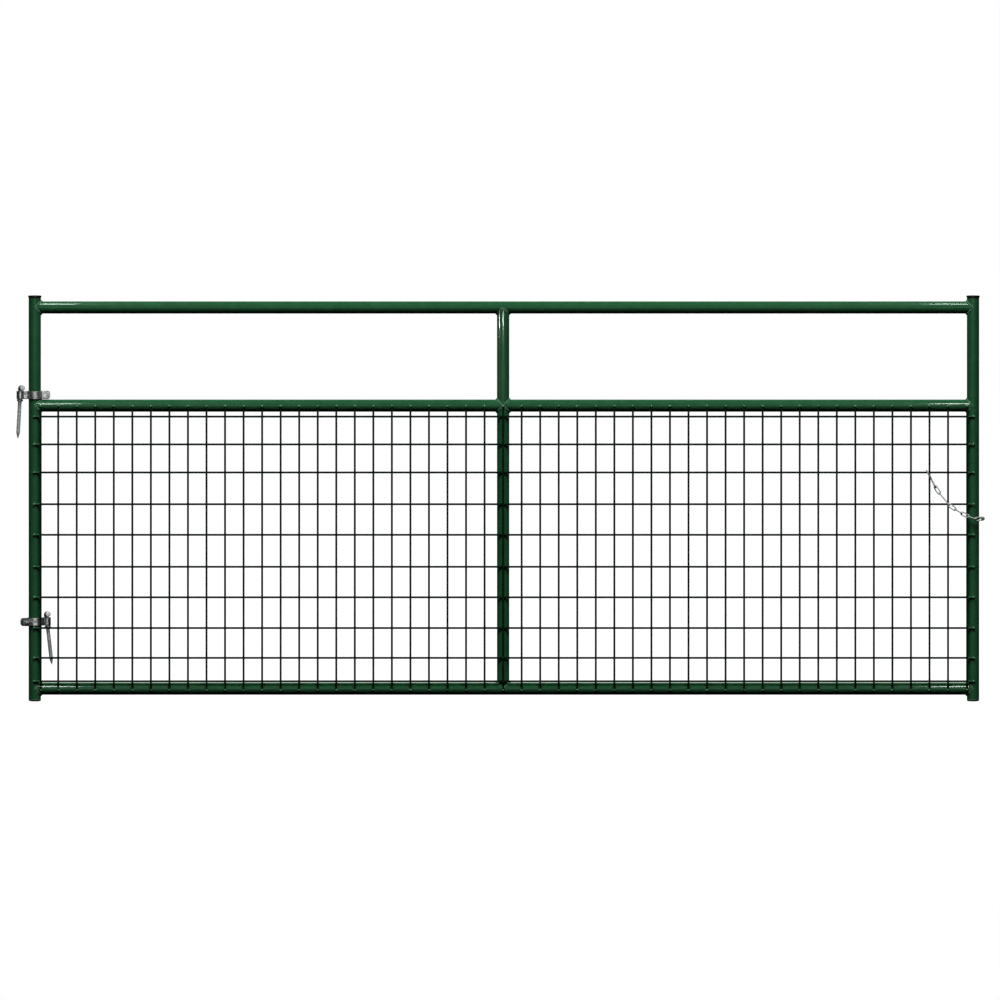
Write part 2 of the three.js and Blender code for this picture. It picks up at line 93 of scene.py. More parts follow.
CAD_WIRE_R = 3
WIRE_R = 2.95  # as drawn
WIRE_SIDES = 12
PITCH = 57.97
UPRIGHT_WIRES = 49  # evenly spaced about the centre upright
EDGE_INSET = 18.5  # from each stile's axis to the one more upright wire on its inner edge
LEVELS = [63.5, 136.8, 230.3, 326.5, 422.0, 522.1, 618.0, 717.4, 805.3, 892.3]
LEVEL_Y = -(TUBE_R + WIRE_R)  # the level wires lie on the stiles
SET_DOWN = 0.55  # how far two crossing wires are pressed into each other when they are welded
UPRIGHT_Y = LEVEL_Y - 2 * WIRE_R + SET_DOWN
WIRE_ENDS = (37.8, 923.4)
WIRES_X = [CENTRE + (i - (UPRIGHT_WIRES - 1) / 2) * PITCH for i in range(UPRIGHT_WIRES)]
WIRES_X = [EDGE_INSET, *WIRES_X, SPAN - EDGE_INSET]

STRAP_H = 25.4
STRAP_T = 3.5
EYE_BORE_R = 8.7
EYE_WALL = 2.9
EYE_X = 45.5
EAR_TIP = 48
EAR_Y = 3.5 + STRAP_T / 2
BOLT_X = 31
BOLT_R = 3.95
THREAD = 1.4  # pitch of the bolt's thread

HOOK_PIN_R = 7.95
HOOK_LEG = 36
HOOK_BEND = 9
HOOK_RIDE = 3.2
SHANK_R = 6
HOOK_REACH = 160
HOOK_POINT = 20

HINGES = [  # name, level, the eye's bearing, the strap's roll, the leg's bearing, the hook's lean
    ("upper", 958.9, 180, 0, -80, 3.2),
    ("lower", 249.0, 32, 180, -80, -6.2),
]

CHAIN_WIRE_R = 1.75
CHAIN_INNER = 6.2
CHAIN_PLAY = 1
LINKS = [  # node, inner length, slope in degrees
    ("chain_link_1", 25, -58),
    ("connector_link", 48, -50),
    ("chain_link_2", 25, -37),
    ("chain_link_3", 25, -31),
    ("chain_link_4", 25, -26),
    ("chain_link_5", 25, -18),
    ("chain_link_6", 25, 4),
]

SNAP_LENGTH = 58
SNAP_WIDTH = 17
SNAP_ROD_R = 2.5
SNAP_SLIDE = 26
SNAP_PIVOT = -12
SNAP_TIP = 12
SNAP_WIRE = 23  # the upright wire it is beside, counted from the centre upright
SNAP_LEVEL = 7  # the level wire it hangs over
SNAP_BESIDE = 7.55  # from the upright wire's axis
SNAP_ABOVE = 1.2  # from the level wire's top
CHAIN_Y = -40

# ---------------------------------------------------------------- the studio, in metres and degrees

CAMERA_WIDTH = 3.127
CAMERA_ELEVATION = 3
CAMERA_AIM = Vector((SPAN * MM / 2 - 0.0122, 0, 0.630))
CAMERA_DISTANCE = 12
GLINT_DISTANCE = 1.2
RAIL_GLINT = (0.14, 0.45, 190)  # width, height, strength
RAIL_GLINT_RISE = {"top_rail": 70, "middle_rail": 38, "bottom_rail": 43}
RAIL_GLINT_INSET = 60  # millimetres from each stile's axis
UPRIGHT_GLINT = (0.36, 0.04, 520)
UPRIGHT_GLINT_BEARINGS = (0, -74)
UPRIGHT_GLINT_Z = 1190  # millimetres


# ---------------------------------------------------------------- surfaces


class Skin:
    """Closed surfaces in millimetres, gathered into one mesh."""

    def __init__(self):
        self.points = []
        self.faces = []

    def add(self, surface, place=None):
        """Adds (points, faces), moved by the matrix if one is given."""
        points, faces = surface
        start = len(self.points)
        self.points += [place @ Vector(p) for p in points] if place else list(points)
        self.faces += [[start + i for i in face] for face in faces]
        return self

    def mesh(self, name, sharp_deg):
        """The mesh in metres: faces outwards, smooth except where they meet at more than the angle."""
        mesh = bpy.data.meshes.new(name)
        mesh.from_pydata([tuple(p * MM) for p in self.points], [], self.faces)
        shape = bmesh.new()
        shape.from_mesh(mesh)
        bmesh.ops.recalc_face_normals(shape, faces=shape.faces)
        for face in shape.faces:
            face.smooth = True
        for edge in shape.edges:
            edge.smooth = edge.calc_face_angle(0) < math.radians(sharp_deg)
        shape.to_mesh(mesh)
        shape.free()
        return mesh


def piece(node, skin, material, sharp_deg=34):
    """Makes the visible piece that stands for a CAD node."""
    shown = bpy.data.objects.new(f"{node}_visual", skin.mesh(f"{node}_visual", sharp_deg))
    bpy.context.scene.collection.objects.link(shown)
    shown.data.materials.append(material)
    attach(shown, BODY_OF[node])
    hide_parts(node)
    return shown


def loft(rings, closed=False):
    """Quads between rings of one length, with flat ends, or joined end to end when closed."""
    count = len(rings[0])
    total = len(rings)
    faces = []
    for i in range(total if closed else total - 1):
        here, there = i * count, (i + 1) % total * count
        for j in range(count):
            k = (j + 1) % count
            faces.append((here + j, here + k, there + k, there + j))
    if not closed:
        faces.append(tuple(reversed(range(count))))
        faces.append(tuple(range((total - 1) * count, total * count)))
    return [p for ring in rings for p in ring], faces


def round_section(radius, sides):
    """(across, along the normal) pairs of a round bar."""
    turns = [TURN * i / sides for i in range(sides)]
    return [(radius * math.cos(a), radius * math.sin(a)) for a in turns]


def sweep(path, section, normal, closed=False):
    """Carries section(i) along a flat path whose plane has the normal."""
    rings = []
    count = len(path)
    for i, point in enumerate(path):
        after = path[(i + 1) % count] if closed else path[min(i + 1, count - 1)]
        before = path[i - 1] if closed else path[max(i - 1, 0)]
        side = (after - before).normalized().cross(normal)
        rings.append([point + side * u + normal * v for u, v in section(i)])
    return loft(rings, closed)


def rod(path, radius, normal, sides, edge=0.8):
    """A round bar along a flat path, its two ends rounded over by edge."""
    steps = 4
    first = (path[0] - path[1]).normalized()
    last = (path[-1] - path[-2]).normalized()
    line, sizes = list(path), [radius] * len(path)
    line[0] = path[0] - first * edge
    line[-1] = path[-1] - last * edge
    head, tail = line[0], line[-1]
    for k in range(1, steps + 1):
        angle = math.pi / 2 * k / steps
        size = radius - edge + edge * math.cos(angle)
        line = [head + first * edge * math.sin(angle)] + line
        line = line + [tail + last * edge * math.sin(angle)]
        sizes = [size] + sizes + [size]
    return sweep(line, lambda i: round_section(sizes[i], sides), normal)


def turned(profile, sides, closed=False):
    """The (radius, height) profile turned about z."""
    turns = [TURN * i / sides for i in range(sides)]
    rings = [[Vector((r * math.cos(a), r * math.sin(a), z)) for a in turns] for r, z in profile]
    return loft(rings, closed)


def arc(centre, radius, start, end, steps):
    """Points (u, v) along an arc, angles in degrees."""
    out = []
    for i in range(steps + 1):
        angle = math.radians(start + (end - start) * i / steps)
        out.append((centre[0] + radius * math.cos(angle), centre[1] + radius * math.sin(angle)))
    return out


def flat_path(points):
    """(u, v) points as vectors in the xy plane."""
    return [Vector((u, v, 0)) for u, v in points]


def blob(radii, sides=10, rows=6, rough=0.0):
    """A lumpy bead, longest along its largest radius."""
    rings = []
    seed = Vector((dice.random(), dice.random(), dice.random())) * 50
    for i in range(rows + 1):
        lean = math.pi * (i + 0.35) / (rows + 0.7)
        ring = []
        for j in range(sides):
            angle = TURN * j / sides
            way = Vector((math.sin(lean) * math.cos(angle), math.cos(lean), math.sin(lean) * math.sin(angle)))
            size = 1 + rough * noise.noise(way * 1.3 + seed)
            ring.append(Vector((way.x * radii[0], way.y * radii[1], way.z * radii[2])) * size)
        rings.append(ring)
    return loft(rings)


# ---------------------------------------------------------------- frame tubes


def between(start, end, step):
    """Evenly spaced positions from start to end, about a step apart."""
    count = max(1, round((end - start) / step))
    return [start + (end - start) * i / count for i in range(count + 1)]


def tube(length, coped):
    """A tube along local x. Its ends are coped round tubes along local z, or cut square.

    Rings close to each end keep the coat's painted highlight and painted shade, which follow curvature, from
    spreading along the tube.
    """
    insets = (0, 1.2, 2.4)
    turns = [TURN * i / TUBE_SIDES for i in range(TUBE_SIDES)]

    def ring(radius, at):
        return [Vector((at, radius * math.cos(a), radius * math.sin(a))) for a in turns]

    def end(radius, inset, far):
        out = []
        for a in turns:
            y, z = radius * math.cos(a), radius * math.sin(a)
            cope = math.sqrt(max(0, TUBE_R**2 - y * y)) + GAP if coped else 0
            x = cope + inset
            out.append(Vector((length - x if far else x, y, z)))
        return out

    clear = TUBE_R + 6 if coped else 6
    stations = between(clear, length - clear, 120)
    outer = [end(TUBE_R, inset, False) for inset in insets]
    outer += [ring(TUBE_R, at) for at in stations]
    outer += [end(TUBE_R, inset, True) for inset in reversed(insets)]
    inner = [end(BORE_R, 0, True)] + [ring(BORE_R, at) for at in reversed(stations)] + [end(BORE_R, 0, False)]
    return loft(outer + inner, closed=True)


def weld_bead():
    """The bead where a coped tube along local x meets a tube along local z, seen from its own end."""
    steps, sides, ripple = 300, 10, 6.2
    soften = 2.6
    seed = Vector((dice.random() * 90, 0, 0))

    def at(i):
        a = TURN * i / steps
        y, z = TUBE_R * math.cos(a), TUBE_R * math.sin(a)
        return Vector((math.sqrt(z * z + soften**2) - 0.6, y, z))

    rings, run = [], 0.0
    for i in range(steps):
        here = at(i)
        along = (at(i + 1) - at(i - 1)).normalized()
        run += (at(i + 1) - here).length
        branch = Vector((0, here.y, here.z)).normalized()
        trunk = Vector((here.x, here.y, 0)).normalized()
        out = (branch + trunk).normalized()
        side = along.cross(out)
        crotch = abs(here.z) / TUBE_R
        lump = 1 + 0.22 * noise.noise(here * 0.09 + seed)
        wave = 0.5 + 0.5 * math.cos(TURN * run / ripple)
        width = (2.4 + 3.2 * crotch**1.5) * lump + 0.9 * wave
        height = (0.9 + 2.4 * crotch**1.5) * lump + 1.2 * wave
        ring = []
        for u, v in round_section(1, sides):
            drag = -1.5 * u * u
            deep = height if v > 0 else 1.0
            ring.append(here + side * u * width + out * v * deep + along * drag)
        rings.append(ring)
    return loft(rings, closed=True)


def weld_spot(x, z):
    """A bead of weld that holds a wire on the front of a tube and covers the wire's end."""
    radii = [size * dice.uniform(0.85, 1.15) for size in (3.9, 4.6, 3.9)]
    return blob(radii, rough=0.3), Matrix.Translation((x, -TUBE_R - 2.4, z))


def axes(origin, x_axis, z_axis):
    """The placement that takes local x and z to these directions."""
    y_axis = z_axis.cross(x_axis)
    turn = Matrix((x_axis, y_axis, z_axis)).transposed().to_4x4()
    return Matrix.Translation(origin) @ turn


def build_stiles(coat):
    for node in ("hinge_stile", "latch_stile"):
        low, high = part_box(node)
        foot = Vector((middle(node).x, 0, low.z / MM))
        place = axes(foot, Z, X)
        skin = Skin().add(tube((high.z - low.z) / MM, coped=False), place)
        outward = math.copysign(1.5, foot.x - SPAN / 2)
        for z in LEVELS:
            skin.add(*weld_spot(foot.x + outward, z))
        piece(node, skin, coat)


def flattened(surface, place, top):
    """The surface put in its place, and ground flat at a height."""
    points, faces = surface
    moved = [place @ Vector(p) for p in points]
    return [Vector((p.x, p.y, min(p.z, top))) for p in moved], faces


def build_rails(coat):
    under_strap = HINGES[0][1] - STRAP_H / 2 - GAP
    for node, height in RAILS.items():
        start = axes(Vector((0, 0, height)), X, Z)
        end = axes(Vector((SPAN, 0, height)), -X, Z)
        skin = Skin().add(tube(SPAN, coped=True), start)
        hinge_bead = weld_bead()
        if node == "middle_rail":
            skin.add(flattened(hinge_bead, start, under_strap))
        else:
            skin.add(hinge_bead, start)
        skin.add(weld_bead(), end)
        for wire_end, past in zip(WIRE_ENDS, (-1.5, 1.5)):
            if abs(wire_end - height) < TUBE_R:
                for x in WIRES_X:
                    skin.add(*weld_spot(x, wire_end + past))
        piece(node, skin, coat)


def build_uprights(coat):
    spans = {
        "centre_upright_upper": (RAILS["middle_rail"], RAILS["top_rail"]),
        "centre_upright_lower": (RAILS["bottom_rail"], RAILS["middle_rail"]),
    }
    for node, (low, high) in spans.items():
        start = axes(Vector((CENTRE, 0, low)), Z, X)
        end = axes(Vector((CENTRE, 0, high)), -Z, X)
        skin = Skin().add(tube(high - low, coped=True), start)
        skin.add(weld_bead(), start)
        skin.add(weld_bead(), end)
        for z in LEVELS:
            if low < z < high:
                skin.add(*weld_spot(CENTRE, z))
        piece(node, skin, coat)


def build_caps(plastic):
    """Flanged caps with a rounded rim and a shallow dished top."""
    profile = [(0.4, -22), (16.6, -22), (17.3, -20.5), (17.3, -1), (17.3, 0)]
    profile += [(19.6, 0), (20.4, 0.25), (20.75, 0.8), (20.75, 4.4)]
    profile += arc((19.65, 4.4), 1.1, 10, 90, 5)
    profile += [(16.5, 5.5), (15.2, 5.15), (2.2, 5.15), (1.9, 5.45), (0.4, 5.5)]
    for node in ("hinge_stile_cap", "latch_stile_cap"):
        rim = Vector((middle(node).x, 0, TOP - 5.6))
        piece(node, Skin().add(turned(profile, 72), Matrix.Translation(rim)), plastic)


def build_feet(plastic):
    """Plugs with a domed foot, a flat to stand on and a stem in the bore."""
    profile = [(0.4, 0.25), (6, 0.25), (6.4, 0), (13, 0), (16, 0.75), (18.2, 1.7)]
    profile += [(18.9, 2.3), (19.05, 2.9), (19.05, 3.9), (18.8, 4.2), (17.3, 4.2)]
    profile += [(17.3, 25), (16.6, 26.2), (0.4, 26.2)]
    for node in ("hinge_stile_foot", "latch_stile_foot"):
        stand = Vector((middle(node).x, 0, 0))
        piece(node, Skin().add(turned(profile, 72), Matrix.Translation(stand)), plastic)


# ---------------------------------------------------------------- wire panel


def eased(start, end, share):
    """From start to end as share goes from 0 to 1, level at both ends."""
    share = min(1, max(0, share))
    return start + (end - start) * share * share * (3 - 2 * share)


def upright_wire(x):
    """A wire in front of the level wires, whose two ends are bent back on to the rails."""
    bottom, top = WIRE_ENDS
    foot_bend, head_bend = (45, 59), (LEVELS[-1] + 5, LEVELS[-1] + 21)
    heights = [bottom, bottom + 3] + between(*foot_bend, 2) + between(foot_bend[1] + 6, head_bend[0] - 6, 60)
    heights += between(*head_bend, 2) + [top - 3, top]
    path = []
    for z in heights:
        y = eased(LEVEL_Y, UPRIGHT_Y, (z - foot_bend[0]) / (foot_bend[1] - foot_bend[0]))
        if z > head_bend[0]:
            y = eased(UPRIGHT_Y, LEVEL_Y, (z - head_bend[0]) / (head_bend[1] - head_bend[0]))
        path.append(Vector((x, y, z)))
    return rod(path, WIRE_R, X, WIRE_SIDES, edge=0.5)


def level_wire(height):
    path = [Vector((x, LEVEL_Y, height)) for x in between(0, SPAN, PITCH)]
    return rod(path, WIRE_R, Z, WIRE_SIDES, edge=0.5)


def build_wire_panel(coat):
    skin = Skin()
    pressed = (LEVEL_Y + UPRIGHT_Y) / 2
    for x in WIRES_X:
        skin.add(upright_wire(x))
        for z in LEVELS:
            skin.add(blob((3.5, 1.5, 3.5), sides=8, rows=4, rough=0.25), Matrix.Translation((x, pressed, z)))
    for z in LEVELS:
        skin.add(level_wire(z))
    piece("wire_panel", skin, coat, sharp_deg=50)


# ---------------------------------------------------------------- hinges


def strap_path():
    """Half of the strap's middle line seen from above, from an ear's tip round to the eye's far side."""
    band = TUBE_R + GAP + STRAP_T / 2
    eye = EYE_BORE_R + EYE_WALL / 2
    neck = (STRAP_T + GAP) / 2
    splay = 1.6
    ear_start = 180 - math.degrees(math.asin(EAR_Y / band))
    neck_end = math.degrees(math.asin(neck / band))
    eye_start = 180 - math.degrees(math.asin(neck / eye))
    corners = [(-EAR_TIP, EAR_Y + splay), (-BOLT_X - 8, EAR_Y)]
    corners += arc((0, 0), band, ear_start, neck_end, 60)
    corners += arc((EYE_X, 0), eye, eye_start, 0, 30)
    return corners


def spaced(points, step):
    """The same line with points a step apart."""
    out = [Vector(points[0])]
    for start, end in zip(points, points[1:]):
        start, end = Vector(start), Vector(end)
        count = max(1, round((end - start).length / step))
        out += [start.lerp(end, (i + 1) / count) for i in range(count)]
    return out


def relaxed(points, passes):
    """The same line with its corners eased by averaging."""
    for _ in range(passes):
        inner = [(a + 2 * b + c) / 4 for a, b, c in zip(points, points[1:], points[2:])]
        points = [points[0]] + inner + [points[-1]]
    return points


def rounded_box(thickness, height, edge):
    """The strap's section: (across, up) pairs with rounded edges."""
    out = []
    shoulder = height / 2 - 4
    for su, sv, start in ((1, 1, 0), (-1, 1, 90), (-1, -1, 180), (1, -1, 270)):
        centre = (su * (thickness / 2 - edge), sv * (height / 2 - edge))
        corner = arc(centre, edge, start, start + 90, 3)
        face = [(su * thickness / 2, sv * shoulder)]
        out += face + corner if su * sv > 0 else corner + face
    return out


def hinge_strap():
    """One strip: an ear, the band, the neck, the rolled eye, and back to the other ear."""
    half = strap_path()
    back = [(x, -y) for x, y in reversed(half[:-1])]
    path = [p.to_3d() for p in relaxed(spaced(half + back, 0.8), 6)]
    corner = 8

    def section(i):
        point = path[i]
        tip = min((point - path[0]).length, (point - path[-1]).length)
        height = STRAP_H / 2
        if tip < corner:
            height += math.sqrt(corner**2 - (corner - tip) ** 2) - corner
        near_eye = (point.x - EYE_X + 12) / 8
        return rounded_box(eased(STRAP_T, EYE_WALL, near_eye), 2 * height, 0.9)

    return sweep(path, section, Z)


def threaded(minor, major, pitch, bottom, top, sides, fade):
    """A threaded bar's side, as rings up z. fade(z) scales the thread's depth."""
    rings = []
    for z in between(bottom, top, pitch / 6):
        ring = []
        for i in range(sides):
            phase = (z / pitch - i / sides) % 1
            crest = 1 - abs(2 * phase - 1)
            radius = minor + (major - minor) * (1 - fade(z) * (1 - min(1, crest * 1.5)))
            a = TURN * i / sides
            ring.append(Vector((radius * math.cos(a), radius * math.sin(a), z)))
        rings.append(ring)
    return rings


def lying(place):
    """Local z laid along -y to +y of the clamp."""
    return place @ Matrix.Rotation(-math.pi / 2, 4, "X")


def carriage_bolt():
    """Domed head, square neck and threaded shank, its axis along z with the head at the bottom."""
    sides = 24
    ear = EAR_Y + STRAP_T / 2
    face = -ear - GAP
    end = ear + 1.6 + 6.7 + 6
    head = [(0.4, face - 4.4), (3.2, face - 4.2), (5.8, face - 3.4), (7.6, face - 2.1), (8.5, face - 0.9)]
    head += [(8.75, face - 0.35), (8.6, face)]
    turns = [TURN * i / sides for i in range(sides)]

    def circle(radius, z):
        return [Vector((radius * math.cos(a), radius * math.sin(a), z)) for a in turns]

    def square(half, z):
        size = [half / max(abs(math.cos(a)), abs(math.sin(a))) for a in turns]
        size = [min(s, half * 1.3) for s in size]
        return [Vector((s * math.cos(a), s * math.sin(a), z)) for s, a in zip(size, turns)]

    rings = [circle(r, z) for r, z in head]
    rings += [square(4, face), square(4, face + 3.6), circle(BOLT_R, face + 4)]
    rings += threaded(3.3, BOLT_R, THREAD, face + 5, end - 0.8, sides, lambda z: 1)
    rings += [circle(3.1, end), circle(0.4, end)]
    return loft(rings)


def hex_nut():
    """A hexagon with chamfered corners and a bore, centred on the origin, its axis along z."""
    flat, height, bore = 6.35, 6.7, 4.1
    sides = 48
    top = height / 2
    levels = [-top + d for d in (0, 0.25, 0.5, 0.75, 1.0)]
    levels += [-z for z in reversed(levels)]

    def ring(z):
        out = []
        for i in range(sides):
            a = TURN * i / sides
            slant = (a + math.pi / 6) % (math.pi / 3) - math.pi / 6
            radius = min(flat / math.cos(slant), flat * 0.97 + (top - abs(z)) * 1.7)
            out.append(Vector((radius * math.cos(a), radius * math.sin(a), z)))
        return out

    def hole(radius, z):
        turns = [TURN * i / sides for i in range(sides)]
        return [Vector((radius * math.cos(a), radius * math.sin(a), z)) for a in turns]

    rings = [ring(z) for z in levels]
    rings += [hole(bore + 0.6, top), hole(bore, top - 0.6), hole(bore, 0.6 - top), hole(bore + 0.6, -top)]
    return loft(rings, closed=True)


def washer():
    """A punched washer with a rolled upper edge."""
    profile = [(4.25, -0.8), (8.5, -0.8), (8.75, -0.5), (8.75, 0.2), (8.3, 0.75), (4.5, 0.8), (4.25, 0.6)]
    return turned(profile, 40, closed=True)


def lag_hook():
    """A thick leg along x that bends down into a threaded, pointed shank along -z."""
    bend = arc((HOOK_BEND, -HOOK_BEND), HOOK_BEND, 90, 180, 14)
    line = [(HOOK_LEG, 0)] + [(u, 0) for u in between(HOOK_LEG - 3, HOOK_BEND + 2, 5)] + bend
    line += [(0, -HOOK_BEND - 0.6)]
    path = [Vector((u, 0, v)) for u, v in line]
    thick = rod(path, HOOK_PIN_R, Y, 40, edge=1.2)
    sides = 28
    start = HOOK_POINT - HOOK_REACH
    turns = [TURN * i / sides for i in range(sides)]

    def fade(z):
        return eased(0, 1, (z - start + 4) / 14) * eased(1, 0, (z + 62) / 12)

    point = [(0.4, -HOOK_REACH), (1.3, -HOOK_REACH + 2.2), (3.4, -HOOK_REACH + 9), (5.2, start - 3)]
    rings = [[Vector((r * math.cos(a), r * math.sin(a), z)) for a in turns] for r, z in point]
    rings += threaded(SHANK_R - 0.75, SHANK_R, 4.2, start, -58, sides, fade)
    rings += [[Vector((SHANK_R * math.cos(a), SHANK_R * math.sin(a), z)) for a in turns] for z in (-40, -6)]
    return [thick, loft(rings)]


def keeper_ring():
    """A thick ring round the shank, under the eye."""
    inner, outer, half = SHANK_R + 0.25, 9.5, 2.75
    profile = arc((outer - 1.4, half - 1.4), 1.4, 90, 0, 5) + arc((outer - 1.4, 1.4 - half), 1.4, 0, -90, 5)
    profile += [(inner + 0.4, -half), (inner, 0.4 - half), (inner, half - 0.4), (inner + 0.4, half)]
    return turned(profile, 44, closed=True)


def build_hinges(zinc, bright, fastener):
    for name, level, eye_deg, roll_deg, leg_deg, lean_deg in HINGES:
        eye_turn = Matrix.Rotation(math.radians(eye_deg), 4, "Z")
        set_at = Matrix.Translation((0, 0, level))
        clamp = set_at @ eye_turn @ Matrix.Rotation(math.radians(roll_deg), 4, "X")
        bolt = lying(clamp @ Matrix.Translation((-BOLT_X, 0, 0)))
        ear = EAR_Y + STRAP_T / 2
        piece(f"{name}_hinge_strap", Skin().add(hinge_strap(), clamp), zinc)
        piece(f"{name}_hinge_bolt", Skin().add(carriage_bolt(), bolt), fastener)
        on_washer = bolt @ Matrix.Translation((0, 0, ear + GAP + 0.8))
        piece(f"{name}_hinge_washer", Skin().add(washer(), on_washer), zinc)
        on_nut = bolt @ Matrix.Translation((0, 0, ear + 2 * GAP + 1.6 + 3.35))
        piece(f"{name}_hinge_nut", Skin().add(hex_nut(), on_nut), fastener, 20)
        eye = set_at @ Matrix.Translation(eye_turn @ Vector((EYE_X, 0, 0)))
        hanging = eye @ Matrix.Rotation(math.radians(lean_deg), 4, "Y")
        leg_up = Matrix.Translation((0, 0, STRAP_H / 2 + HOOK_PIN_R + HOOK_RIDE))
        hook = hanging @ leg_up @ Matrix.Rotation(math.radians(leg_deg), 4, "Z")
        skin = Skin()
        for surface in lag_hook():
            skin.add(surface, hook)
        piece(f"{name}_lag_hook", skin, bright)
        under = hanging @ Matrix.Translation((0, 0, -(STRAP_H / 2 + 2.75 + 1.5)))
        piece(f"{name}_hook_keeper", Skin().add(keeper_ring(), under), zinc)


# ---------------------------------------------------------------- latch chain


def chain_line():
    """The snap hook's two inner ends and the ends of every link, from the snap hook to the anchor."""
    level_y = -(TUBE_R + GAP) - CAD_WIRE_R
    beside = CENTRE + SNAP_WIRE * PITCH - SNAP_BESIDE
    head = Vector((beside, level_y, LEVELS[SNAP_LEVEL] + CAD_WIRE_R + SNAP_ABOVE))
    drop = math.sqrt(SNAP_LENGTH**2 - SNAP_SLIDE**2 - (level_y - CHAIN_Y) ** 2)
    foot = Vector((head.x + SNAP_SLIDE, CHAIN_Y, head.z - drop))
    up = (head - foot).normalized()
    ends = [foot + up * CHAIN_PLAY]
    for _, length, slope in LINKS:
        angle = math.radians(slope)
        step = Vector((math.cos(angle), 0, math.sin(angle)))
        ends.append(ends[-1] + step * (length - CHAIN_PLAY))
    return head, foot, up, ends


def oval(length, width, rod_r, steps=14):
    """The middle line of a bar bent to an oval of that inner length and width, long along y."""
    radius = width / 2 + rod_r
    straight = length / 2 + rod_r - radius
    line = arc((0, straight), radius, 0, 180, steps) + arc((0, -straight), radius, 180, 360, steps)
    return flat_path(line)


def chain_link(length):
    """A link of bent wire, with the swelling of its butt weld on one leg."""
    path = oval(length, CHAIN_INNER, CHAIN_WIRE_R)
    leg = CHAIN_INNER / 2 + CHAIN_WIRE_R
    spaced_path = [p.to_3d() for p in spaced([p.to_2d() for p in path + path[:1]], 1.1)][:-1]

    def section(i):
        point = spaced_path[i]
        swell = 0.32 * math.exp(-((point.y / 1.3) ** 2)) if point.x > leg * 0.8 else 0
        return round_section(CHAIN_WIRE_R + swell, 14)

    return sweep(spaced_path, section, Z, closed=True)


def build_chain(bright):
    ends = chain_line()[3]
    for i, (node, length, _) in enumerate(LINKS):
        start, end = ends[i], ends[i + 1]
        along = (end - start).normalized()
        across = Y.cross(along).normalized()
        lie = Matrix((across, along, across.cross(along))).transposed().to_4x4()
        place = Matrix.Translation((start + end) / 2) @ lie @ Matrix.Rotation(i * math.pi / 2, 4, "Y")
        piece(node, Skin().add(chain_link(length), place), bright)


def build_anchor(coat):
    """The rod welded to the latch stile's outer side, bent forward, with an upset head."""
    chain_end = chain_line()[3][-1]
    rod_r, front, bend = 2.5, 49, 6
    reach = chain_end.x - rod_r - CHAIN_PLAY - SPAN
    line = [(TUBE_R - 0.5, 0), (TUBE_R + 2, 0)] + arc((reach - bend, -bend), bend, 90, 0, 10)
    line += [(reach, -15), (reach, -30), (reach, -front)]
    path = flat_path(line)
    place = Matrix.Translation((SPAN, 0, chain_end.z))
    head = [(0.4, -1.5), (3.6, -1.5), (4.5, -0.9), (4.75, 0), (4.5, 0.9), (3.6, 1.5), (0.4, 1.5)]
    skin = Skin().add(rod(path, rod_r, Z, 20, edge=0.3), place)
    tip = place @ Matrix.Translation((reach, -front, 0)) @ Matrix.Rotation(math.pi / 2, 4, "X")
    skin.add(turned(head, 28), tip)
    root = place @ Matrix.Translation((TUBE_R + 0.3, 0, 0))
    skin.add(blob((2.2, 4.6, 4.6), sides=16, rows=10, rough=0.3), root)
    piece("chain_anchor", skin, coat)


def build_snap(bright, zinc):
    """The snap hook's open oval, its sprung gate and the gate's pin."""
    head, foot, up, _ = chain_line()
    front = (-Y - up * (-Y).dot(up)).normalized()
    lie = Matrix((front, up, front.cross(up))).transposed().to_4x4()
    place = Matrix.Translation((head + foot) / 2) @ lie
    leg = (SNAP_WIDTH + 2 * SNAP_ROD_R) / 2
    line = [p.to_2d() for p in oval(SNAP_LENGTH, SNAP_WIDTH, SNAP_ROD_R, 20)]
    line = line + line[:1]
    line = [p.to_3d() for p in spaced(line, 1.5)]
    opening_foot, opening_tip = SNAP_PIVOT - SNAP_ROD_R - GAP, SNAP_TIP + 2 * GAP
    rest = [p for p in line if not (p.x > leg * 0.8 and opening_foot < p.y < opening_tip)]
    tip = next(i for i, p in enumerate(rest) if p.y >= opening_tip and p.x > leg * 0.8)
    path = [Vector((leg, opening_tip, 0))] + rest[tip:-1] + rest[:tip] + [Vector((leg, opening_foot, 0))]
    skin = Skin().add(rod(path, SNAP_ROD_R, Z, 20, edge=0.5), place)
    tongue = arc((leg, SNAP_PIVOT), SNAP_ROD_R - GAP, 0, 180, 12) + [(leg - 2.2, -15.6), (leg + 2.2, -15.6)]
    skin.add(loft([[Vector((u, v, w)) for u, v in tongue] for w in (-0.95, 0.95)]), place)
    piece("snap_hook", skin, bright)

    pivot = place @ Matrix.Translation((leg, SNAP_PIVOT, 0))
    gate = Skin()
    cheek = arc((0, 0), SNAP_ROD_R, 180, 360, 12) + [(SNAP_ROD_R, 6), (-SNAP_ROD_R, 6)]
    for low, high in ((-2.5, -1.3), (1.3, 2.5)):
        gate.add(loft([[Vector((u, v, w)) for u, v in cheek] for w in (low, high)]), pivot)
    bar = [Vector((0, v, 0)) for v in between(2.9, SNAP_TIP - SNAP_PIVOT, 3)]
    gate.add(rod(bar, SNAP_ROD_R, Z, 20, edge=0.9), pivot)
    piece("snap_gate", gate, bright)

    pin = [(0.3, -3), (0.9, -3), (1.2, -2.7), (1.2, 2.7), (0.9, 3), (0.3, 3)]
    piece("snap_gate_pin", Skin().add(turned(pin, 20), pivot), zinc)


# ---------------------------------------------------------------- materials


